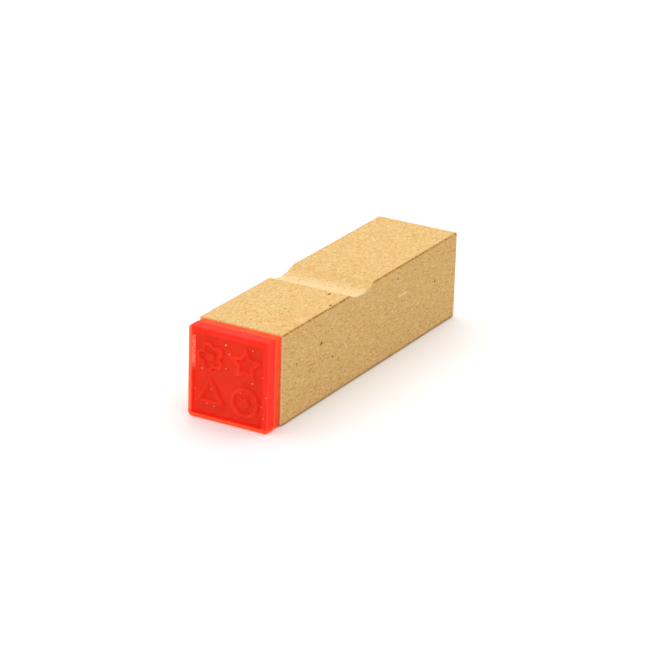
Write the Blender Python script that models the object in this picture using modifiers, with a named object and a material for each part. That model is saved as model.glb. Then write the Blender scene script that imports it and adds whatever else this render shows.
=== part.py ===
"""A block-mounted rubber stamp: a fibreboard handle, a soft cushion and a photopolymer plate, glued in a stack.

The stamp lies on its side. The handle's length is along Y, its printing face looks along -Y,
and its finger groove is in the top face. The origin is the middle of the whole stamp on the surface it lies on.
"""

import math

import bmesh
import bpy

MM = 0.001

# Handle, in millimetres.
BLOCK_SIDE = 15.0
BLOCK_LENGTH = 57.0
BLOCK_ARRIS = 0.15
GROOVE_WIDTH = 7.8
GROOVE_DEPTH = 0.95
GROOVE_FROM_FRONT = 24.6
GROOVE_SEGMENTS = 160

# The glued stack on the handle's front end, from the wood outwards.
GLUE_GAP = 0.03
BLOCK_TAPE = 0.15
CUSHION = 1.25
PLATE_TAPE = 0.12
CARRIER_FILM = 0.13
PLATE_THICKNESS = 2.1

# The plate and what lies under it are cut a little smaller than the block, and sit a little to the right on it.
PLATE_LEFT = -6.95
PLATE_RIGHT = 7.25
PLATE_BOTTOM = 0.08
PLATE_TOP = 14.95
CORNER = 0.3
WORN_CORNER = 0.7
PLATE_EDGE = 0.1
CUSHION_INSET = 0.05
FILM_INSET = 0.1

# The printing face: a recess inside a rim, with four plain pictures left standing in it, all printing at one height.
# The walls slope, so that each printed line is wider at its foot.
RELIEF_HEIGHT = 0.5
SHOULDER = 0.2
RIM_LEFT = 0.55
RIM_RIGHT = 0.85
RIM_BOTTOM = 0.62
RIM_TOP = 0.95
RECESS_CORNER = 0.5
PICTURE_OFFSET = 3.1
PICTURE_RADIUS = 2.4
STROKE = 0.4
ROUND_POINTS = 48

# Paper label on the handle's far end.
LABEL_SIDE = 13.0
LABEL_THICKNESS = 0.07
LABEL_CORNER = 0.8

STACK = BLOCK_TAPE + CUSHION + PLATE_TAPE + CARRIER_FILM + PLATE_THICKNESS + 5 * GLUE_GAP
TOTAL_LENGTH = STACK + BLOCK_LENGTH + GLUE_GAP + LABEL_THICKNESS
FRONT_END = -TOTAL_LENGTH / 2
BLOCK_FRONT = FRONT_END + STACK
BLOCK_BACK = BLOCK_FRONT + BLOCK_LENGTH
PLATE_MID_X = (PLATE_LEFT + PLATE_RIGHT) / 2
PLATE_MID_Z = (PLATE_BOTTOM + PLATE_TOP) / 2
PLATE_WIDTH = PLATE_RIGHT - PLATE_LEFT
PLATE_HEIGHT = PLATE_TOP - PLATE_BOTTOM
RECESS_WIDTH = PLATE_WIDTH - RIM_LEFT - RIM_RIGHT
RECESS_HEIGHT = PLATE_HEIGHT - RIM_BOTTOM - RIM_TOP
RECESS_MID_X = PLATE_MID_X + (RIM_LEFT - RIM_RIGHT) / 2
RECESS_MID_Z = PLATE_MID_Z + (RIM_BOTTOM - RIM_TOP) / 2


def clear_scene():
    for old in list(bpy.data.objects):
        bpy.data.objects.remove(old, do_unlink=True)


def new_collection(name):
    collection = bpy.data.collections.new(name)
    bpy.context.scene.collection.children.link(collection)
    return collection


def material(name, colour, roughness, metallic=0.0):
    made = bpy.data.materials.new(name)
    made.use_nodes = True
    shader = made.node_tree.nodes["Principled BSDF"]
    shader.inputs["Base Color"].default_value = (*colour, 1.0)
    shader.inputs["Roughness"].default_value = roughness
    shader.inputs["Metallic"].default_value = metallic
    return made


def link(name, mesh, collection, finish=None):
    piece = bpy.data.objects.new(name, mesh)
    collection.objects.link(piece)
    if finish is not None:
        piece.data.materials.append(finish)
    return piece


def slab_mesh(name, width, depth, height):
    """A box round its own centre, width along X, depth along Y and height along Z."""
    shape = bmesh.new()
    bmesh.ops.create_cube(shape, size=1.0)
    bmesh.ops.scale(shape, vec=(width * MM, depth * MM, height * MM), verts=shape.verts)
    mesh = bpy.data.meshes.new(name)
    shape.to_mesh(mesh)
    shape.free()
    return mesh


def is_lower_left(edge):
    return all(vert.co.x < 0 and vert.co.z < 0 for vert in edge.verts)


def runs_along_y(edge):
    return abs(edge.verts[0].co.y - edge.verts[1].co.y) > 0.01 * MM


def round_corners(mesh, radius, worn_radius, segments=5):
    """Rounds the four edges that run along Y, the lower left one by its own radius."""
    shape = bmesh.new()
    shape.from_mesh(mesh)
    corners = [edge for edge in shape.edges if runs_along_y(edge)]
    worn = [edge for edge in corners if is_lower_left(edge)]
    sound = [edge for edge in corners if not is_lower_left(edge)]
    for edges, size in ((sound, radius), (worn, worn_radius)):
        bmesh.ops.bevel(
            shape, geom=edges, offset=size * MM, segments=segments, profile=0.5, affect="EDGES"
        )
    shape.to_mesh(mesh)
    shape.free()


def add_bevel(piece, width, segments=2):
    bevel = piece.modifiers.new("soft_edges", "BEVEL")
    bevel.width = width * MM
    bevel.segments = segments
    bevel.limit_method = "ANGLE"
    bevel.angle_limit = math.radians(50)
    return bevel


def add_boolean(piece, operation, cutter):
    boolean = piece.modifiers.new(cutter.name, "BOOLEAN")
    boolean.operation = operation
    boolean.solver = "EXACT"
    boolean.object = cutter
    return boolean


def hide_cutter(cutter):
    cutter.hide_render = True
    cutter.display_type = "WIRE"


def make_groove_cutter(cutters):
    """A drum lying across the block, so large that only a shallow arc of it enters the top face."""
    radius = (GROOVE_WIDTH**2 / 4 + GROOVE_DEPTH**2) / (2 * GROOVE_DEPTH)
    shape = bmesh.new()
    bmesh.ops.create_cone(
        shape,
        cap_ends=True,
        segments=GROOVE_SEGMENTS,
        radius1=radius * MM,
        radius2=radius * MM,
        depth=(BLOCK_SIDE + 4) * MM,
    )
    mesh = bpy.data.meshes.new("groove_cutter")
    shape.to_mesh(mesh)
    shape.free()
    cutter = link("groove_cutter", mesh, cutters)
    cutter.rotation_euler = (0, math.radians(90), 0)
    cutter.location = (
        0,
        (BLOCK_FRONT + GROOVE_FROM_FRONT) * MM,
        (BLOCK_SIDE - GROOVE_DEPTH + radius) * MM,
    )
    hide_cutter(cutter)
    return cutter


def make_handle(parts, cutters, finish):
    mesh = slab_mesh("handle_block", BLOCK_SIDE, BLOCK_LENGTH, BLOCK_SIDE)
    handle = link("handle_block", mesh, parts, finish)
    handle.location = (0, (BLOCK_FRONT + BLOCK_LENGTH / 2) * MM, BLOCK_SIDE / 2 * MM)
    add_bevel(handle, BLOCK_ARRIS)
    add_boolean(handle, "DIFFERENCE", make_groove_cutter(cutters))
    return handle


def make_layer(parts, name, back, thickness, inset, finish):
    """One flat layer of the stack. back is the Y of its face towards the wood."""
    mesh = slab_mesh(name, PLATE_WIDTH - 2 * inset, thickness, PLATE_HEIGHT - 2 * inset)
    round_corners(mesh, CORNER, WORN_CORNER)
    layer = link(name, mesh, parts, finish)
    layer.location = (PLATE_MID_X * MM, (back - thickness / 2) * MM, PLATE_MID_Z * MM)
    return layer


def circle_points(radius, count=ROUND_POINTS):
    turn = 2 * math.pi / count
    return [(radius * math.cos(i * turn), radius * math.sin(i * turn)) for i in range(count)]


def star_points(radius, waist, tips=5):
    """A star with its first tip up. waist is the radius of the points between the tips."""
    points = []
    for i in range(2 * tips):
        angle = math.pi / 2 + i * math.pi / tips
        reach = radius if i % 2 == 0 else waist
        points.append((reach * math.cos(angle), reach * math.sin(angle)))
    return points


def flower_points(radius, petals=5, depth=0.34):
    """A round outline that swells once for each petal and pinches in between them."""
    count = petals * 12
    points = []
    for i in range(count):
        angle = 2 * math.pi * i / count
        swell = abs(math.sin(petals * angle / 2))
        reach = radius * (1 - depth + depth * swell)
        points.append((reach * math.cos(angle), reach * math.sin(angle)))
    return points


def polygon_points(radius, sides):
    points = []
    for i in range(sides):
        angle = math.pi / 2 + 2 * math.pi * i / sides
        points.append((radius * math.cos(angle), radius * math.sin(angle)))
    return points


def rounded_square_points(width, height, radius, steps=5):
    points = []
    for corner in range(4):
        start = corner * math.pi / 2
        across = (width / 2 - radius) * (1 if corner in (0, 3) else -1)
        up = (height / 2 - radius) * (1 if corner in (0, 1) else -1)
        for i in range(steps + 1):
            angle = start + i * math.pi / 2 / steps
            points.append((across + radius * math.cos(angle), up + radius * math.sin(angle)))
    return points


def shifted(points, across, up):
    return [(x + across, z + up) for x, z in points]


def recess_outlines():
    """Closed outlines at the printing height, round the recess's middle. Each one inside another turns
    cut into uncut or back, so a picture's outer and inner outline leave a raised line between them."""
    star_waist = 0.52
    outlines = [rounded_square_points(RECESS_WIDTH, RECESS_HEIGHT, RECESS_CORNER)]
    pictures = {
        (-1, 1): [
            flower_points(PICTURE_RADIUS),
            flower_points(PICTURE_RADIUS - STROKE),
            circle_points(1.4 * STROKE, 20),
        ],
        (1, 1): [
            star_points(1.1 * PICTURE_RADIUS, 1.1 * PICTURE_RADIUS * star_waist),
            star_points(1.1 * PICTURE_RADIUS - 2.2 * STROKE, 1.1 * PICTURE_RADIUS * star_waist - STROKE),
        ],
        (-1, -1): [
            polygon_points(1.15 * PICTURE_RADIUS, 3),
            polygon_points(1.15 * PICTURE_RADIUS - 2 * STROKE, 3),
        ],
        (1, -1): [
            circle_points(PICTURE_RADIUS),
            circle_points(PICTURE_RADIUS - STROKE),
            circle_points(1.8 * STROKE, 28),
        ],
    }
    for (side, level), shapes in pictures.items():
        for points in shapes:
            outlines.append(shifted(points, side * PICTURE_OFFSET, level * PICTURE_OFFSET))
    return outlines


def make_recess_cutter(cutters):
    """The recess between the raised lines, as one flat outline with sloping walls, made a mesh to cut with.

    The outline's bevel makes the walls. It is as deep as it is wide, so the mesh is stretched along its
    axis until the bevel is as deep as the relief is high. Only the bevelled back half enters the plate.
    """
    stretch = RELIEF_HEIGHT / SHOULDER
    outline = bpy.data.curves.new("recess_outline", "CURVE")
    outline.dimensions = "2D"
    outline.fill_mode = "BOTH"
    outline.extrude = SHOULDER / 2 * MM
    outline.bevel_depth = SHOULDER * MM
    outline.bevel_resolution = 0
    outline.offset = -SHOULDER * MM
    for points in recess_outlines():
        spline = outline.splines.new("POLY")
        spline.points.add(len(points) - 1)
        spline.use_cyclic_u = True
        for target, (across, up) in zip(spline.points, points):
            target.co = (across * MM, up * MM, 0, 1)
    guide = link("recess_outline", outline, cutters)
    bpy.context.view_layer.update()
    evaluated = guide.evaluated_get(bpy.context.evaluated_depsgraph_get())
    mesh = bpy.data.meshes.new_from_object(evaluated)
    bpy.data.objects.remove(guide, do_unlink=True)

    shape = bmesh.new()
    shape.from_mesh(mesh)
    bmesh.ops.remove_doubles(shape, verts=shape.verts, dist=0.001 * MM)
    bmesh.ops.recalc_face_normals(shape, faces=shape.faces)
    bmesh.ops.scale(shape, vec=(1, 1, stretch), verts=shape.verts)
    shape.to_mesh(mesh)
    shape.free()

    cutter = link("recess_cutter", mesh, cutters)
    straight_half = stretch * SHOULDER / 2
    cutter.rotation_euler = (math.radians(90), 0, 0)
    cutter.location = (RECESS_MID_X * MM, (FRONT_END - straight_half) * MM, RECESS_MID_Z * MM)
    hide_cutter(cutter)
    return cutter


def make_plate(parts, cutters, back, finish):
    """The photopolymer plate, with the recess cut into its front so that the rim and the pictures stand."""
    plate = make_layer(parts, "stamp_plate", back, PLATE_THICKNESS, 0, finish)
    add_bevel(plate, PLATE_EDGE)
    add_boolean(plate, "DIFFERENCE", make_recess_cutter(cutters))
    return plate


def make_label(parts, finish):
    mesh = slab_mesh("back_label", LABEL_SIDE, LABEL_THICKNESS, LABEL_SIDE)
    round_corners(mesh, LABEL_CORNER, LABEL_CORNER)
    label = link("back_label", mesh, parts, finish)
    label.location = (
        0,
        (BLOCK_BACK + GLUE_GAP + LABEL_THICKNESS / 2) * MM,
        BLOCK_SIDE / 2 * MM,
    )
    return label


def make_stack(parts, cutters):
    """The layers between the wood and the printing face, each a glue gap in front of the last."""
    clear_glue = material("clear_glue", (0.55, 0.16, 0.05), 0.3)
    orange_pad = material("orange_pad", (0.95, 0.20, 0.05), 0.45)
    polyester = material("polyester", (0.90, 0.25, 0.15), 0.15)
    red_resin = material("red_resin", (0.80, 0.04, 0.02), 0.25)
    layers = [
        ("block_tape", BLOCK_TAPE, FILM_INSET, clear_glue),
        ("cushion_pad", CUSHION, CUSHION_INSET, orange_pad),
        ("plate_tape", PLATE_TAPE, FILM_INSET, clear_glue),
        ("carrier_film", CARRIER_FILM, CUSHION_INSET, polyester),
    ]
    back = BLOCK_FRONT - GLUE_GAP
    for name, thickness, inset, finish in layers:
        make_layer(parts, name, back, thickness, inset, finish)
        back -= thickness + GLUE_GAP
    make_plate(parts, cutters, back, red_resin)


def main():
    clear_scene()
    parts = new_collection("rubber_stamp")
    cutters = new_collection("cutters")
    fibreboard = material("fibreboard", (0.62, 0.42, 0.20), 0.85)
    paper = material("paper", (0.90, 0.89, 0.85), 0.9)
    make_handle(parts, cutters, fibreboard)
    make_stack(parts, cutters)
    make_label(parts, paper)


main()
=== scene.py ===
"""The looks of a block-mounted rubber stamp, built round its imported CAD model."""

import math

import bmesh
import bpy
import numpy as np
from mathutils import Matrix, Vector, noise


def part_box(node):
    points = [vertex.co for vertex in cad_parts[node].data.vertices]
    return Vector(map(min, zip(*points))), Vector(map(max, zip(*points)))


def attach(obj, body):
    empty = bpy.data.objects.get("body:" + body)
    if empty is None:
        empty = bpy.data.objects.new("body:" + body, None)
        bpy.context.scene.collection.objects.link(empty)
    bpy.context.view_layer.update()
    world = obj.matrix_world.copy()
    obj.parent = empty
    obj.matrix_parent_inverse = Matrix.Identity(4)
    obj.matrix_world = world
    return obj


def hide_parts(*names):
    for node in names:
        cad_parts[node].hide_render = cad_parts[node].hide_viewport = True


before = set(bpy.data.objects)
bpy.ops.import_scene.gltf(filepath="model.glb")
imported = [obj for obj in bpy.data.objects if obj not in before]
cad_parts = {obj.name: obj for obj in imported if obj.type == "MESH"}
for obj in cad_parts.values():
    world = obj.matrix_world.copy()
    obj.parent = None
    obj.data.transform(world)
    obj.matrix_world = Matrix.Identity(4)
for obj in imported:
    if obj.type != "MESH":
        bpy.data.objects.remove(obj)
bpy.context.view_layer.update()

MM = 0.001
WELD = 0.0005 * MM
BLOCK_LOW, BLOCK_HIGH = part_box("handle_block")
PLATE_LOW, PLATE_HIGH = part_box("stamp_plate")

# The camera: its angle round the object, and the point it looks at, from the block's front end.
AZIMUTH = 29.25
ELEVATION = 21.18
ROLL = 1.75
DISTANCE = 488.5 * MM
LENS = 169.5
SENSOR_WIDTH = 36
LOOK_ACROSS = 0.98 * MM
LOOK_BEHIND_FRONT = 24.4 * MM
LOOK_HEIGHT = 7.5 * MM

# Light: an even white sky, and a wide soft sun almost overhead, a little to the left.
# Together they light the floor to paper white.
SKY_LEVEL = 0.74
SUN_POWER = 1.95
SUN_WIDTH = 110
SUN_FROM = (-0.16, 0.08, 0.98)
FLOOR_SIZE = 6.0
FLOOR_DROP = 0.01 * MM

# Fineness of the meshes made here.
BLOCK_VOXEL = 0.22 * MM
PAD_VOXEL = 0.12 * MM
LABEL_VOXEL = 0.07 * MM

# How much the edges of the plate and of the films are rounded.
PLATE_ROUNDING = 0.04 * MM
FILM_ROUNDING = 0.015 * MM

# How uneven the surfaces are, in millimetres. The block is worn near its edges, more in some places.
BLOCK_UNEVEN = 0.012
BLOCK_WEAR = 0.035
BLOCK_EXTRA_WEAR = 0.05
BLOCK_WORN_WIDTH = 0.45
PAD_UNEVEN = 0.02
LABEL_UNEVEN = 0.006

# How thick the paper is, as a share of the CAD label.
LABEL_THICKNESS = 0.72

# How far the films come out beyond their CAD sheets, to be nearly flush with their neighbours.
CARRIER_FLUSH = 0.06 * MM
PLATE_TAPE_FLUSH = 0.05 * MM
BLOCK_TAPE_FLUSH = 0.0

# The print starts just inside the label's paper and ends at its outer limit.
# Its size is a share of the plate's.
PRINT_DEPTH = 0.03 * MM
PRINT_SCALE = 0.76

# The finger groove, from the CAD block: where its two edges and its floor are.
GROOVE_FRONT = BLOCK_LOW.y + 20.7 * MM
GROOVE_BACK = BLOCK_LOW.y + 28.5 * MM
GROOVE_DEPTH = 0.95 * MM

# Marks on this one piece of board: how far across, behind its front end and up, and a radius,
# in millimetres.
DARK_FLECKS = (
    ((4.3, 19.5, 15.0), 0.42),
    ((6.9, 15.4, 15.0), 0.36),
    ((1.8, 10.2, 15.0), 0.26),
    ((7.5, 11.8, 9.9), 0.30),
    ((7.5, 15.4, 6.5), 0.24),
    ((7.5, 4.2, 9.0), 0.24),
    ((7.5, 49.4, 8.6), 0.28),
    ((7.5, 36.4, 13.0), 0.22),
)
PALE_FLECKS = (
    ((7.5, 13.2, 4.0), 0.22),
    ((7.5, 48.8, 3.5), 0.20),
)
# Dark flecks are drawn out along the board, and all flecks have ragged outlines.
FLECK_STRETCH = (1.7, 0.75, 1.0)
FLECK_RAGGED_SIZE = 0.4
FLECK_RAGGED_REACH = 0.5
SCRATCH = (7.5, 38.3, 9.8)
SCRATCH_WIDTH = 0.18
SCRATCH_STRETCH = 11.0
SCRATCH_TILT = -14

# How deep the plate's recess is, from the CAD plate.
RECESS_DEPTH = 0.5 * MM

# Air bubbles in the plate: how far across and up, in millimetres, and a radius.
BUBBLES = (
    (-0.55, 12.85, 0.17),
    (0.05, 11.45, 0.13),
    (4.2, 12.9, 0.11),
    (-4.8, 8.15, 0.12),
    (-0.5, 9.0, 0.10),
    (4.25, 7.6, 0.11),
    (6.1, 9.0, 0.09),
    (-3.8, 2.5, 0.11),
    (-2.5, 2.3, 0.12),
    (0.85, 3.5, 0.11),
)

# Paler specks in the plate, as how far across and up.
FACE_SPECKS = (
    (7.0, 6.0),
    (6.6, 2.5),
    (5.9, 4.1),
    (-6.0, 4.6),
    (-3.1, 5.0),
    (2.1, 5.6),
)
FACE_SPECK_RADIUS = 0.17

# Painted light and shade on the plate: a painted highlight streak on its left rim, upright stripes of
# painted shade on the right, and a painted shadow line over its foot. Each row is where the mark starts,
# is full, begins to fade and ends, in millimetres. Across, the shadow line has only the last two.
STREAK_ACROSS = (-6.42, -6.30, -6.10, -5.92)
STREAK_UP = (7.4, 9.4, 13.1, 13.5)
SHADE_STRIPES_ACROSS = (4.9, 5.4, 6.9, 7.1)
OVER_FOOT_UP = (0.66, 0.74, 0.82, 1.15)
OVER_FOOT_FADES = (5.9, 6.3)


# ---------------------------------------------------------------- meshes


def link(piece):
    bpy.context.scene.collection.objects.link(piece)
    return piece


def node_mesh(node, name):
    """A welded copy of a CAD node's mesh, for a new piece to start from."""
    shape = bmesh.new()
    shape.from_mesh(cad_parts[node].data)
    bmesh.ops.remove_doubles(shape, verts=shape.verts, dist=WELD)
    mesh = bpy.data.meshes.new(name)
    shape.to_mesh(mesh)
    shape.free()
    return mesh


def applied(piece):
    """Replaces a piece's mesh by what its modifiers make of it."""
    bpy.context.view_layer.update()
    evaluated = piece.evaluated_get(bpy.context.evaluated_depsgraph_get())
    mesh = bpy.data.meshes.new_from_object(evaluated)
    piece.modifiers.clear()
    piece.data = mesh
    return piece


def remeshed(piece, voxel):
    remesh = piece.modifiers.new("remesh", "REMESH")
    remesh.mode = "VOXEL"
    remesh.voxel_size = voxel
    remesh.use_smooth_shade = True
    return applied(piece)


def vertex_array(mesh, field="co"):
    values = np.zeros(len(mesh.vertices) * 3, np.float32)
    mesh.vertices.foreach_get(field, values)
    return values.reshape(-1, 3).astype(float)


def set_vertices(mesh, places):
    mesh.vertices.foreach_set("co", places.astype(np.float32).ravel())
    mesh.update()


def noise_at(places, size, seed):
    """Smooth noise from -1 to 1 at each place, with features of the given size."""
    offset = Vector((seed * 17.3, seed * 5.1, seed * 9.7))
    return np.array([noise.noise(Vector(p) / size + offset) for p in places])


def keep_in_box(places, low, high):
    return np.clip(places, np.array(low), np.array(high))


# ---------------------------------------------------------------- shader nodes


class Shader:
    """One material. Each call adds a node and gives back the socket that leaves it."""

    def __init__(self, name):
        self.material = bpy.data.materials.new(name)
        self.material.use_nodes = True
        self.tree = self.material.node_tree
        self.surface = self.tree.nodes["Principled BSDF"]

    def feed(self, socket, value):
        if isinstance(value, bpy.types.NodeSocket):
            self.tree.links.new(value, socket)
        else:
            socket.default_value = value

    def add(self, kind, inputs=(), output=0, **settings):
        made = self.tree.nodes.new(kind)
        for key, value in settings.items():
            setattr(made, key, value)
        for key, value in dict(inputs).items():
            self.feed(made.inputs[key], value)
        return made.outputs[output]

    def place(self):
        """Where the point is on the object, in millimetres."""
        where = self.add("ShaderNodeTexCoord", output="Object")
        return self.add("ShaderNodeVectorMath", {0: where, 1: (1 / MM,) * 3}, operation="MULTIPLY")

    def turned(self, place, angles, stretch):
        """The place in axes turned by angles, in degrees, and scaled by stretch."""
        return self.add(
            "ShaderNodeMapping",
            {
                "Vector": place,
                "Rotation": tuple(math.radians(angle) for angle in angles),
                "Scale": stretch,
            },
        )

    def jogged(self, place, size, reach):
        """The place pushed about by noise, so that an outline drawn with it comes out ragged."""
        noise_inputs = {"Vector": place, "Scale": 1 / size, "Detail": 2.0}
        push = self.add("ShaderNodeTexNoise", noise_inputs, output="Color")
        centred = self.add("ShaderNodeVectorMath", {0: push, 1: (0.5,) * 3}, operation="SUBTRACT")
        scaled = self.add("ShaderNodeVectorMath", {0: centred, 1: (reach,) * 3}, operation="MULTIPLY")
        return self.add("ShaderNodeVectorMath", {0: place, 1: scaled}, operation="ADD")

    def grain(self, place, size, detail=2.0, roughness=0.5, distortion=0.0):
        """Noise from 0 to 1 with features of the given size in millimetres."""
        return self.add(
            "ShaderNodeTexNoise",
            {
                "Vector": place,
                "Scale": 1 / size,
                "Detail": detail,
                "Roughness": roughness,
                "Distortion": distortion,
            },
        )

    def band(self, value, low, high, to_low=0.0, to_high=1.0):
        """0 below low, 1 above high, and a smooth step in between, or the two values given."""
        return self.add(
            "ShaderNodeMapRange",
            {"Value": value, 1: low, 2: high, 3: to_low, 4: to_high},
            interpolation_type="SMOOTHSTEP",
        )

    def between(self, value, start, full, fading, end):
        """1 from full to fading, and 0 before start and after end."""
        return self.product(self.band(value, start, full), self.band(value, fading, end, 1.0, 0.0))

    def math(self, operation, first, second=0.0):
        return self.add("ShaderNodeMath", {0: first, 1: second}, operation=operation)

    def mix(self, share, first, second):
        """The first colour where share is 0, and the second where it is 1."""
        made = self.tree.nodes.new("ShaderNodeMix")
        made.data_type = "RGBA"
        self.feed(made.inputs["Factor"], share)
        self.feed(made.inputs["A"], first if isinstance(first, bpy.types.NodeSocket) else (*first, 1))
        self.feed(made.inputs["B"], second if isinstance(second, bpy.types.NodeSocket) else (*second, 1))
        return made.outputs["Result"]

    def split(self, place):
        made = self.tree.nodes.new("ShaderNodeSeparateXYZ")
        self.feed(made.inputs[0], place)
        return made.outputs["X"], made.outputs["Y"], made.outputs["Z"]

    def specks(self, place, spacing, radius, share):
        """1 inside scattered round specks, 0 elsewhere. share is how many of the cells hold one."""
        cell = self.tree.nodes.new("ShaderNodeTexVoronoi")
        self.feed(cell.inputs["Vector"], place)
        self.feed(cell.inputs["Scale"], 1 / spacing)
        reach = radius / spacing
        inside = self.band(cell.outputs["Distance"], reach * 0.6, reach, 1.0, 0.0)
        lot = self.split(cell.outputs["Color"])[0]
        chosen = self.math("LESS_THAN", lot, share)
        return self.math("MULTIPLY", inside, chosen)

    def spot(self, place, centre, radius, stretch=(1, 1, 1), turn=0):
        """1 near one point of the object and 0 elsewhere, drawn out and turned about the x axis."""
        offset = self.add("ShaderNodeVectorMath", {0: place, 1: centre}, operation="SUBTRACT")
        offset = self.turned(offset, (turn, 0, 0), stretch)
        distance = self.add("ShaderNodeVectorMath", {0: offset}, output="Value", operation="LENGTH")
        return self.band(distance, radius * 0.55, radius, 1.0, 0.0)

    def highest(self, *values):
        result = values[0]
        for value in values[1:]:
            result = self.math("MAXIMUM", result, value)
        return result

    def product(self, *values):
        result = values[0]
        for value in values[1:]:
            result = self.math("MULTIPLY", result, value)
        return result

    def bump(self, height, distance, strength=1.0):
        """Raises the surface by height times distance, in millimetres."""
        normal = self.add(
            "ShaderNodeBump", {"Height": height, "Distance": distance * MM, "Strength": strength}
        )
        self.feed(self.surface.inputs["Normal"], normal)

    def set(self, **values):
        for key, value in values.items():
            self.feed(self.surface.inputs[key.replace("_", " ")], value)


def give(piece, material):
    piece.data.materials.clear()
    piece.data.materials.append(material)
    return piece


# ---------------------------------------------------------------- materials


def fibres(s, place, size, seed, low, high):
    """How much a short straight fibre covers the point, from three sets that lie different ways."""
    found = []
    for number, angles in enumerate(((15, 10, 28), (-25, 20, -40), (70, -15, 95))):
        shifted = s.add(
            "ShaderNodeVectorMath", {0: place, 1: (seed * 31, number * 17, seed * 7)}, operation="ADD"
        )
        strand = s.grain(s.turned(shifted, angles, (1.0, 0.27, 1.0)), size, 1.0, 0.5, 0.3)
        found.append(s.band(strand, low, high))
    return s.highest(*found)


def own_marks(s, place, colour):
    """The colour with this board's largest flecks and its one scratch drawn on it."""
    front = BLOCK_LOW.y / MM
    ragged_place = s.jogged(place, FLECK_RAGGED_SIZE, FLECK_RAGGED_REACH)
    dark = [
        s.spot(ragged_place, (x, front + y, z), radius, FLECK_STRETCH)
        for (x, y, z), radius in DARK_FLECKS
    ]
    colour = s.mix(s.math("MULTIPLY", s.highest(*dark), 0.95), colour, (0.10, 0.045, 0.016))
    pale = [
        s.spot(ragged_place, (x, front + y, z), radius)
        for (x, y, z), radius in PALE_FLECKS
    ]
    scratch_place = (SCRATCH[0], front + SCRATCH[1], SCRATCH[2])
    pale.append(
        s.spot(place, scratch_place, SCRATCH_WIDTH, (1, 1 / SCRATCH_STRETCH, 1), SCRATCH_TILT)
    )
    return s.mix(s.math("MULTIPLY", s.highest(*pale), 0.62), colour, (0.88, 0.72, 0.46))


def brown_edges(s, place):
    """How brown the point is: a ragged saw-browned line on the long top edges, and a darker band low
    down along the bottom edge.
    """
    across, _, up = s.split(place)
    top = BLOCK_HIGH.z / MM
    side = BLOCK_HIGH.x / MM
    from_side = s.math("SUBTRACT", side, s.math("ABSOLUTE", across))
    from_top = s.math("SUBTRACT", top, up)
    squares = s.math("ADD", s.product(from_side, from_side), s.product(from_top, from_top))
    arris = s.band(s.math("SQRT", squares), 0.16, 0.38, 1.0, 0.0)
    low_down = s.product(s.band(up, 0.2, 0.65, 1.0, 0.0), s.band(from_side, 0.1, 0.3, 1.0, 0.0), 0.9)
    ragged = s.band(s.grain(place, 0.5, 3.0, 0.7), 0.38, 0.54, 0.25, 1.0)
    return s.product(s.highest(arris, low_down), ragged, 0.95)


def fibreboard():
    """Raw MDF: fine fibres pressed every way, brown and pale flecks, and a painted highlight on the
    groove's front slope.
    """
    s = Shader("fibreboard")
    place = s.place()
    across, along, _ = s.split(place)
    front = BLOCK_LOW.y / MM
    side = BLOCK_HIGH.x / MM

    grit = s.grain(place, 0.42, 2.0, 0.5)
    mottle = s.grain(place, 1.3, 2.0, 0.55)
    colour = s.mix(s.band(grit, 0.18, 0.82), (0.600, 0.368, 0.126), (0.740, 0.498, 0.208))
    colour = s.mix(s.band(mottle, 0.48, 0.76, 0, 0.75), colour, (0.680, 0.378, 0.108))
    # The side faces, and a thin strip of the top beside them, a little darker and more orange.
    darker_sides = s.band(s.math("ABSOLUTE", across), side - 0.3, side - 0.1)
    colour = s.mix(s.math("MULTIPLY", darker_sides, 0.22), colour, (0.560, 0.290, 0.075))

    dark_fibres = fibres(s, place, 0.25, 1, 0.64, 0.71)
    colour = s.mix(s.math("MULTIPLY", dark_fibres, 0.56), colour, (0.36, 0.180, 0.050))
    pale_fibres = fibres(s, place, 0.26, 2, 0.64, 0.71)
    colour = s.mix(s.math("MULTIPLY", pale_fibres, 0.34), colour, (0.90, 0.700, 0.400))

    small_brown = s.math("MULTIPLY", s.specks(place, 0.9, 0.13, 0.30), 0.55)
    brown = s.highest(s.specks(place, 2.4, 0.18, 0.30), small_brown)
    colour = s.mix(s.math("MULTIPLY", brown, 0.75), colour, (0.22, 0.100, 0.028))
    colour = own_marks(s, place, colour)

    # Painted highlight on the groove's front slope, broken up by the grit and fibres.
    painted_groove_light = s.add("ShaderNodeAttribute", output="Fac", attribute_name="painted_groove_light")
    painted_groove_light_cover = s.product(
        s.band(grit, 0.25, 0.70, 0.60, 0.90), s.band(dark_fibres, 0.0, 1.0, 1.0, 0.45)
    )
    colour = s.mix(s.math("MULTIPLY", painted_groove_light, painted_groove_light_cover), colour, (0.790, 0.590, 0.325))
    colour = s.mix(brown_edges(s, place), colour, (0.37, 0.150, 0.028))
    # Painted highlight along the front upright arris beside the plate.
    at_front = s.band(along, front + 0.08, front + 0.22, 1.0, 0.0)
    painted_arris_highlight = s.product(at_front, s.band(across, side - 0.3, side - 0.1), 0.7)
    colour = s.mix(painted_arris_highlight, colour, (0.86, 0.70, 0.42))

    height = s.math("ADD", s.math("MULTIPLY", grit, 0.6), s.math("MULTIPLY", pale_fibres, 0.25))
    height = s.math("SUBTRACT", height, s.math("MULTIPLY", brown, 0.25))
    s.bump(height, 0.05, 0.7)
    s.set(
        Base_Color=colour,
        Roughness=s.band(grit, 0.3, 0.7, 0.95, 0.80),
        Specular_IOR_Level=0.2,
    )
    return s.material


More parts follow.
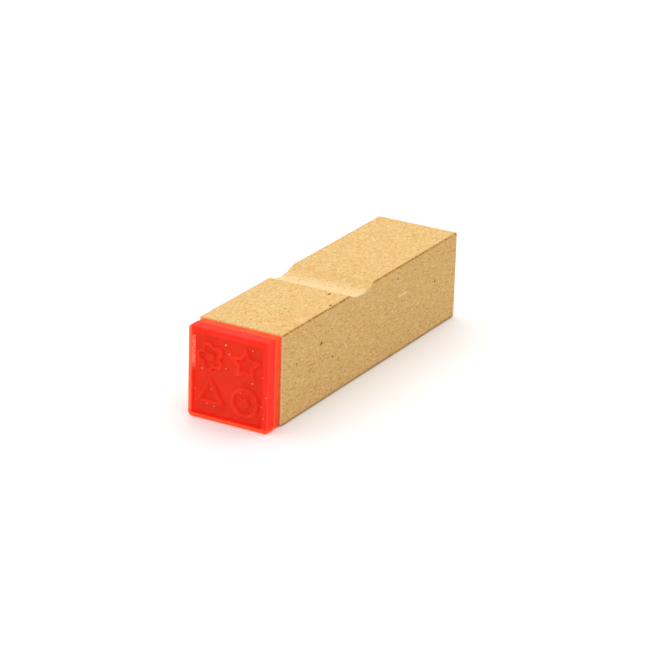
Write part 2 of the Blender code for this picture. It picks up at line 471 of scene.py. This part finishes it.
def plate_light(s, place):
    """Where light comes in through the plate, as a share from 0 to 1 for each of its parts."""
    across, _, up = s.split(place)
    left = s.math("SUBTRACT", across, PLATE_LOW.x / MM)
    right = s.math("SUBTRACT", PLATE_HIGH.x / MM, across)
    bottom = s.math("SUBTRACT", up, PLATE_LOW.z / MM)
    top = s.math("SUBTRACT", PLATE_HIGH.z / MM, up)
    nearest = s.math("MINIMUM", s.math("MINIMUM", left, right), s.math("MINIMUM", bottom, top))
    return {
        "margins": s.highest(
            s.band(left, 0.1, 0.6, 1.0, 0.0),
            s.band(right, 0.1, 2.0, 1.0, 0.0),
            s.band(top, 0.1, 1.35, 1.0, 0.0),
        ),
        "left_side": s.band(left, 0.40, 0.72, 1.0, 0.0),
        "foot": s.band(bottom, 0.50, 0.62, 1.0, 0.0),
        "cut_sides": s.band(nearest, 0.03, 0.15, 1.0, 0.0),
    }


def lit_edges(s, place, clouds, light, colour):
    """The colour with painted light where light reaches into the plate, and two marks of painted shade
    beside it.
    """
    across, along, up = s.split(place)
    face = PLATE_LOW.y / MM
    side = PLATE_HIGH.x / MM
    # Painted highlight: the relief's tops, at the front of the plate, a little lighter.
    in_front = s.band(along, face + 0.05, face + 0.3, 1.0, 0.0)
    raised = s.product(in_front, s.band(clouds, 0.42, 0.60), 0.15)
    colour = s.mix(raised, colour, (0.80, 0.048, 0.025))
    # Painted light: brighter margins where light enters the plate's edges.
    colour = s.mix(light["margins"], colour, (0.67, 0.0265, 0.0150))

    # Painted shade: upright darker stripes on the right margin.
    upright = s.grain(s.turned(place, (0, 0, 0), (1.0, 0.3, 0.05)), 0.55, 1.0)
    painted_shade_stripes = s.product(s.between(across, *SHADE_STRIPES_ACROSS), s.band(upright, 0.50, 0.60), 0.5)
    colour = s.mix(painted_shade_stripes, colour, (0.58, 0.016, 0.012))

    # Painted highlight on the plate's right front arris.
    on_arris = s.product(
        s.band(across, side - 0.17, side - 0.07), s.band(along, face + 0.08, face + 0.18, 1.0, 0.0)
    )
    colour = s.mix(s.math("MULTIPLY", on_arris, 0.25), colour, (1.0, 0.12, 0.075))
    # Painted light on the left rim, where light comes through the left side.
    left_rim = s.product(light["left_side"], s.band(along, face + 0.1, face + 0.3, 1.0, 0.15), 0.85)
    colour = s.mix(left_rim, colour, (0.91, 0.150, 0.073))

    # Painted light: the bright orange foot, lit from the floor in front.
    colour = s.mix(light["foot"], colour, (1.0, 0.080, 0.025))
    # Painted shadow: a dark line just over the foot.
    over_foot = s.product(
        s.between(up, *OVER_FOOT_UP), s.band(across, *OVER_FOOT_FADES, 1.0, 0.0), 0.6
    )
    return s.mix(over_foot, colour, (0.62, 0.010, 0.006))


def resin_marks(s, place, fine, colour):
    """The colour with a painted highlight streak on the left rim and the pale specks drawn on it."""
    across, along, up = s.split(place)
    face = PLATE_LOW.y / MM
    # Painted highlight: a pale streak on the left rim.
    painted_streak_highlight = s.product(
        s.between(across, *STREAK_ACROSS),
        s.between(up, *STREAK_UP),
        s.band(fine, 0.30, 0.62, 0.35, 1.0),
        s.band(along, face + 0.6, face + 0.8, 1.0, 0.0),
    )
    colour = s.mix(s.math("MULTIPLY", painted_streak_highlight, 0.80), colour, (0.90, 0.35, 0.205))
    scattered = s.math("MULTIPLY", s.specks(place, 1.5, 0.09, 0.16), 0.6)
    on_face = [s.spot(place, (x, face, z), FACE_SPECK_RADIUS, (1, 0.1, 1)) for x, z in FACE_SPECKS]
    dots = s.highest(scattered, *on_face)
    return s.mix(s.math("MULTIPLY", dots, 0.60), colour, (1.0, 0.24, 0.13))


def red_resin():
    """Cured photopolymer: red, deep where it is thick, with painted light and a painted glow where light
    enters its edges.
    """
    s = Shader("red_resin")
    place = s.place()
    light = plate_light(s, place)
    clouds = s.grain(place, 2.6, 2.0, 0.5)
    fine = s.grain(place, 0.35, 3.0, 0.6)

    colour = s.mix(s.band(clouds, 0.3, 0.7), (0.57, 0.0280, 0.0125), (0.62, 0.0330, 0.0145))
    colour = lit_edges(s, place, clouds, light, colour)
    colour = resin_marks(s, place, fine, colour)

    height = s.math("ADD", s.math("MULTIPLY", fine, 0.25), s.math("MULTIPLY", clouds, 0.75))
    s.bump(height, 0.015, 0.3)
    gloss = s.band(fine, 0.3, 0.7, 0.20, 0.34)
    s.set(
        Base_Color=colour,
        Roughness=s.math("ADD", gloss, s.math("MULTIPLY", light["cut_sides"], 0.32)),
        Subsurface_Weight=1.0,
        Subsurface_Scale=1.0 * MM,
        Subsurface_Radius=(6.0, 0.8, 0.4),
        Specular_IOR_Level=0.08,
        Specular_Tint=(1.0, 0.45, 0.35, 1),
        # Painted glow: emission stands in for light coming through the resin, stronger at the foot.
        Emission_Color=colour,
        Emission_Strength=s.math("ADD", s.math("MULTIPLY", light["foot"], 0.14), 0.24),
    )
    return s.material


def orange_pad():
    """The cushion: a soft clear orange rubber, with a knife's drag marks on its cut sides."""
    s = Shader("orange_pad")
    place = s.place()
    clouds = s.grain(place, 1.8, 2.0, 0.5)
    drag = s.grain(s.turned(place, (0, 0, 0), (0.4, 3.0, 0.4)), 0.8, 3.0, 0.6)
    colour = s.mix(s.band(clouds, 0.3, 0.7), (0.98, 0.052, 0.010), (1.0, 0.072, 0.014))
    colour = s.mix(s.band(drag, 0.55, 0.75, 0, 0.3), colour, (1.0, 0.13, 0.03))
    s.bump(drag, 0.02, 0.5)
    s.set(
        Base_Color=colour,
        Roughness=s.band(drag, 0.3, 0.7, 0.45, 0.6),
        Subsurface_Weight=1.0,
        Subsurface_Scale=1.0 * MM,
        Subsurface_Radius=(1.8, 0.4, 0.15),
        Specular_IOR_Level=0.08,
        Specular_Tint=(1.0, 0.45, 0.3, 1),
        # Painted glow, standing in for light coming through the clear rubber.
        Emission_Color=colour,
        Emission_Strength=0.10,
    )
    return s.material


def film(name, pale, dark, low, roughness, glow):
    """A thin film seen only by its cut edge: streaked along the cut, darker low down, and with a painted
    glow.
    """
    s = Shader(name)
    place = s.place()
    streaks = s.grain(s.turned(place, (0, 0, 0), (1.0, 0.2, 1.0)), 0.5, 3.0, 0.6)
    colour = s.mix(s.band(streaks, 0.35, 0.65), dark, pale)
    colour = s.mix(s.band(s.split(place)[2], 1.0, 9.0, 1.0, 0.0), colour, low)
    s.bump(streaks, 0.01, 0.5)
    s.set(
        Base_Color=colour,
        Roughness=s.band(streaks, 0.3, 0.7, roughness, roughness + 0.15),
        Specular_IOR_Level=0.1,
        Subsurface_Weight=0.5,
        Subsurface_Scale=0.5 * MM,
        Subsurface_Radius=(1.0, 0.3, 0.15),
        # Painted glow, standing in for light coming through the film.
        Emission_Color=(*pale, 1),
        Emission_Strength=glow,
    )
    return s.material


def paper():
    """Uncoated label stock: matted fibres, faintly uneven white."""
    s = Shader("paper")
    place = s.place()
    fibre = s.grain(s.turned(place, (0, 40, 0), (1.0, 1.0, 0.3)), 0.16, 3.0, 0.6, 0.5)
    cloud = s.grain(place, 1.6, 3.0, 0.5)
    colour = s.mix(s.band(cloud, 0.3, 0.7), (0.74, 0.73, 0.69), (0.80, 0.79, 0.755))
    colour = s.mix(s.band(fibre, 0.5, 0.8, 0, 0.3), colour, (0.62, 0.60, 0.55))
    s.bump(fibre, 0.012, 0.7)
    s.set(Base_Color=colour, Roughness=s.band(fibre, 0.3, 0.7, 0.95, 0.85), Specular_IOR_Level=0.3)
    return s.material


def ink():
    """Stamped ink on paper: thin where the print was light."""
    s = Shader("ink")
    place = s.place()
    starved = s.grain(place, 0.35, 4.0, 0.65)
    colour = s.mix(s.band(starved, 0.50, 0.72), (0.055, 0.05, 0.055), (0.22, 0.205, 0.20))
    s.bump(starved, 0.004, 0.5)
    s.set(Base_Color=colour, Roughness=s.band(starved, 0.3, 0.7, 0.55, 0.8))
    return s.material


def bubble_glass():
    """Air bubbles in the resin, coloured pale as painted glints."""
    s = Shader("bubble")
    place = s.place()
    shade = s.grain(place, 0.1, 1.0)
    s.set(
        Base_Color=s.mix(shade, (1.0, 0.28, 0.15), (1.0, 0.48, 0.30)),
        Roughness=s.band(shade, 0.3, 0.7, 0.08, 0.2),
        Subsurface_Weight=0.3,
        Subsurface_Scale=0.3 * MM,
        Subsurface_Radius=(1.0, 0.4, 0.2),
    )
    return s.material


def floor_paint():
    """A white table top, with a barely uneven tone."""
    s = Shader("floor")
    place = s.place()
    s.set(
        Base_Color=s.mix(s.grain(place, 40.0, 2.0), (0.855, 0.855, 0.85), (0.865, 0.865, 0.86)),
        Roughness=0.6,
        Specular_IOR_Level=0.2,
    )
    return s.material


# ---------------------------------------------------------------- pieces


def take_place(piece, node):
    """Puts a piece in the place of a CAD node: hides the node and attaches the piece to the root."""
    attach(piece, "root")
    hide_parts(node)
    return piece


def smooth_step(values, low, high):
    share = np.clip((values - low) / (high - low), 0, 1)
    return share * share * (3 - 2 * share)


def mark_painted_groove_light(mesh, places, normals):
    """Stores how much painted highlight each point gets: most on the groove's front slope, which faces
    the light from behind.
    """
    along = places[:, 1]
    middle = (GROOVE_FRONT + GROOVE_BACK) / 2
    fading = 1 - smooth_step(along, middle - 1.2 * MM, GROOVE_BACK - 0.6 * MM)
    inside = (along > GROOVE_FRONT - 0.1 * MM) & (along < GROOVE_BACK + 0.1 * MM)
    on_top = (normals[:, 2] > 0.6) & (places[:, 2] > BLOCK_HIGH.z - GROOVE_DEPTH - 0.2 * MM)
    layer = mesh.attributes.new("painted_groove_light", "FLOAT", "POINT")
    layer.data.foreach_set("value", (fading * inside * on_top).astype(np.float32))


def make_block(finish):
    """The fibreboard stick: faces as sawn and sanded, a little uneven, and slightly worn edges."""
    mesh = node_mesh("handle_block", "fibreboard_block")
    block = link(bpy.data.objects.new("fibreboard_block", mesh))
    remeshed(block, BLOCK_VOXEL)
    mesh = block.data
    places = vertex_array(mesh)
    normals = vertex_array(mesh, "normal")
    low, high = np.array(BLOCK_LOW), np.array(BLOCK_HIGH)
    to_faces = np.sort(np.minimum(places - low, high - places), axis=1)
    near_edge = np.clip(1 - to_faces[:, 1] / (BLOCK_WORN_WIDTH * MM), 0, 1)
    waves = noise_at(places, 1.4 * MM, seed=1)
    grains = noise_at(places, 0.5 * MM, seed=2)
    rough = waves * BLOCK_UNEVEN + grains * BLOCK_UNEVEN
    patches = np.clip(noise_at(places, 1.1 * MM, seed=3), 0, 1)
    wear = near_edge * (BLOCK_WEAR + BLOCK_EXTRA_WEAR * patches)
    sunk = (np.abs(rough) + wear) * MM
    set_vertices(mesh, keep_in_box(places - normals * sunk[:, None], low, high))
    mark_painted_groove_light(mesh, places, normals)
    give(block, finish)
    return take_place(block, "handle_block")


def make_plate(finish):
    """The photopolymer plate, its edges rounded over as cured resin's are."""
    mesh = node_mesh("stamp_plate", "resin_plate")
    plate = link(bpy.data.objects.new("resin_plate", mesh))
    shape = bmesh.new()
    shape.from_mesh(plate.data)
    bmesh.ops.dissolve_limit(
        shape, angle_limit=math.radians(1), verts=shape.verts, edges=shape.edges, delimit={"NORMAL"}
    )
    shape.to_mesh(plate.data)
    shape.free()
    bevel = plate.modifiers.new("rounded", "BEVEL")
    bevel.width = PLATE_ROUNDING
    bevel.segments = 3
    bevel.limit_method = "ANGLE"
    bevel.angle_limit = math.radians(25)
    bevel.use_clamp_overlap = False
    bevel.harden_normals = True
    applied(plate)
    give(plate, finish)
    return take_place(plate, "stamp_plate")


def make_pad(finish):
    """The cushion, faintly waved by the knife that cut it."""
    mesh = node_mesh("cushion_pad", "orange_cushion")
    pad = link(bpy.data.objects.new("orange_cushion", mesh))
    remeshed(pad, PAD_VOXEL)
    mesh = pad.data
    low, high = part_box("cushion_pad")
    places = vertex_array(mesh)
    normals = vertex_array(mesh, "normal")
    dragged = noise_at(places * (1, 0.35, 1), 0.9 * MM, seed=8) * PAD_UNEVEN * MM
    set_vertices(mesh, keep_in_box(places + normals * dragged[:, None], low, high))
    give(pad, finish)
    return take_place(pad, "cushion_pad")


def make_film(node, name, finish, front, back, flush):
    """A film that fills the space from front to back. Its cut edge comes out by flush."""
    mesh = node_mesh(node, name)
    low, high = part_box(node)
    middle = (low + high) / 2
    size = high - low
    target = Vector((size.x + 2 * flush, back - front, size.z + 2 * flush))
    centre = Vector((middle.x, (front + back) / 2, middle.z))
    for vertex in mesh.vertices:
        offset = vertex.co - middle
        vertex.co = centre + Vector(offset[i] * target[i] / size[i] for i in range(3))
    piece = link(bpy.data.objects.new(name, mesh))
    bevel = piece.modifiers.new("cut_edge", "BEVEL")
    bevel.width = FILM_ROUNDING
    bevel.segments = 2
    applied(piece)
    give(piece, finish)
    return take_place(piece, node)


def make_bubbles(finish):
    """Small air bubbles standing in the recess's floor."""
    shape = bmesh.new()
    floor = PLATE_LOW.y + RECESS_DEPTH
    for across, up, radius in BUBBLES:
        made = bmesh.ops.create_icosphere(shape, subdivisions=3, radius=radius * MM)
        bmesh.ops.translate(shape, verts=made["verts"], vec=(across * MM, floor, up * MM))
    mesh = bpy.data.meshes.new("resin_bubbles")
    shape.to_mesh(mesh)
    shape.free()
    mesh.shade_smooth()
    bubbles = link(bpy.data.objects.new("resin_bubbles", mesh))
    give(bubbles, finish)
    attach(bubbles, "root")
    return bubbles


def make_label(finish):
    """The paper label: a thin sheet with rounded corners, barely wavy as glued paper is."""
    mesh = node_mesh("back_label", "paper_label")
    low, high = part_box("back_label")
    label = link(bpy.data.objects.new("paper_label", mesh))
    remeshed(label, LABEL_VOXEL)
    places = vertex_array(label.data)
    waves = np.abs(noise_at(places, 3 * MM, seed=11)) * LABEL_UNEVEN * MM
    places[:, 1] = low.y + (places[:, 1] - low.y) * LABEL_THICKNESS + waves
    set_vertices(label.data, keep_in_box(places, low, high))
    give(label, finish)
    return take_place(label, "back_label")


def printed_faces():
    """The plate's flat printing faces, as a mesh of their own."""
    shape = bmesh.new()
    shape.from_mesh(node_mesh("stamp_plate", "print_source"))
    printing = PLATE_LOW.y + 0.01 * MM
    away = [
        face for face in shape.faces
        if face.normal.y > -0.9 or face.calc_center_median().y > printing
    ]
    bmesh.ops.delete(shape, geom=away, context="FACES")
    return shape


def make_print(finish):
    """What the stamp prints, on the label: its printing faces, seen from behind and so mirrored."""
    shape = printed_faces()
    low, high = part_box("back_label")
    plate_middle = (PLATE_LOW + PLATE_HIGH) / 2
    label_middle = (low + high) / 2
    for vertex in shape.verts:
        vertex.co.x = label_middle.x + (vertex.co.x - plate_middle.x) * PRINT_SCALE
        vertex.co.z = label_middle.z + (vertex.co.z - plate_middle.z) * PRINT_SCALE
        vertex.co.y = high.y - PRINT_DEPTH
    raised = bmesh.ops.extrude_face_region(shape, geom=shape.faces[:])
    tops = [item for item in raised["geom"] if isinstance(item, bmesh.types.BMVert)]
    bmesh.ops.translate(shape, verts=tops, vec=(0, PRINT_DEPTH, 0))
    bmesh.ops.recalc_face_normals(shape, faces=shape.faces)
    mesh = bpy.data.meshes.new("label_print")
    shape.to_mesh(mesh)
    shape.free()
    printed = link(bpy.data.objects.new("label_print", mesh))
    give(printed, finish)
    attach(printed, "root")
    return printed


# ---------------------------------------------------------------- stage


def make_camera():
    azimuth, elevation, roll = (math.radians(a) for a in (AZIMUTH, ELEVATION, ROLL))
    back = Vector((
        math.sin(azimuth) * math.cos(elevation),
        -math.cos(azimuth) * math.cos(elevation),
        math.sin(elevation),
    ))
    level_right = Vector((math.cos(azimuth), math.sin(azimuth), 0))
    level_up = back.cross(level_right)
    right = math.cos(roll) * level_right + math.sin(roll) * level_up
    up = math.cos(roll) * level_up - math.sin(roll) * level_right
    target = Vector((LOOK_ACROSS, BLOCK_LOW.y + LOOK_BEHIND_FRONT, LOOK_HEIGHT))
    data = bpy.data.cameras.new("camera")
    data.sensor_width = SENSOR_WIDTH
    data.lens = LENS
    data.clip_start = 0.01
    data.clip_end = 20
    camera = link(bpy.data.objects.new("camera", data))
    place = target + back * DISTANCE
    rows = [[right[i], up[i], back[i], place[i]] for i in range(3)] + [[0, 0, 0, 1]]
    camera.matrix_world = Matrix(rows)
    bpy.context.scene.camera = camera


def make_sun():
    """A sun as wide as a studio's overhead diffuser, which lights the whole floor evenly."""
    data = bpy.data.lights.new("sun", "SUN")
    data.energy = SUN_POWER
    data.angle = math.radians(SUN_WIDTH)
    sun = link(bpy.data.objects.new("sun", data))
    sun.rotation_euler = Vector(SUN_FROM).to_track_quat("Z", "Y").to_euler()


def make_sky():
    """An even white sky, which the camera sees at full white whatever light it gives."""
    world = bpy.data.worlds.new("studio")
    bpy.context.scene.world = world
    world.use_nodes = True
    nodes, links = world.node_tree.nodes, world.node_tree.links
    background = nodes["Background"]
    background.inputs["Color"].default_value = (1, 1, 1, 1)
    seen = nodes.new("ShaderNodeLightPath").outputs["Is Camera Ray"]
    level = nodes.new("ShaderNodeMix")
    links.new(seen, level.inputs["Factor"])
    level.inputs["A"].default_value = SKY_LEVEL
    level.inputs["B"].default_value = 1.0
    links.new(level.outputs["Result"], background.inputs["Strength"])


def make_floor():
    mesh = bpy.data.meshes.new("floor")
    shape = bmesh.new()
    bmesh.ops.create_grid(shape, x_segments=1, y_segments=1, size=FLOOR_SIZE / 2)
    shape.to_mesh(mesh)
    shape.free()
    floor = link(bpy.data.objects.new("floor", mesh))
    floor.location.z = -FLOOR_DROP
    give(floor, floor_paint())


def make_stage():
    make_sky()
    bpy.context.scene.view_settings.view_transform = "Standard"
    make_sun()
    make_floor()


def make_films():
    """The two adhesive films and the plate's carrier, each filling the space between its neighbours."""
    block_glue = film(
        "clear_glue",
        pale=(0.95, 0.080, 0.016),
        dark=(0.80, 0.060, 0.012),
        low=(0.42, 0.034, 0.006),
        roughness=0.3,
        glow=0.05,
    )
    plate_glue = film(
        "plate_glue",
        pale=(0.95, 0.040, 0.014),
        dark=(0.88, 0.030, 0.012),
        low=(0.90, 0.034, 0.012),
        roughness=0.3,
        glow=0.15,
    )
    polyester = film(
        "polyester",
        pale=(1.0, 0.105, 0.050),
        dark=(1.0, 0.075, 0.035),
        low=(1.0, 0.090, 0.042),
        roughness=0.3,
        glow=0.25,
    )
    carrier_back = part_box("carrier_film")[1].y
    cushion_front, cushion_back = (corner.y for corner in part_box("cushion_pad"))
    make_film(
        "carrier_film", "polyester_film",
        polyester, PLATE_HIGH.y, carrier_back, CARRIER_FLUSH,
    )
    make_film(
        "plate_tape", "plate_tape_film",
        plate_glue, carrier_back, cushion_front, PLATE_TAPE_FLUSH,
    )
    make_film(
        "block_tape", "block_tape_film",
        block_glue, cushion_back, BLOCK_LOW.y, BLOCK_TAPE_FLUSH,
    )


def make_stamp():
    make_block(fibreboard())
    make_plate(red_resin())
    make_pad(orange_pad())
    make_films()
    make_bubbles(bubble_glass())
    make_label(paper())
    make_print(ink())


make_camera()
make_stage()
make_stamp()
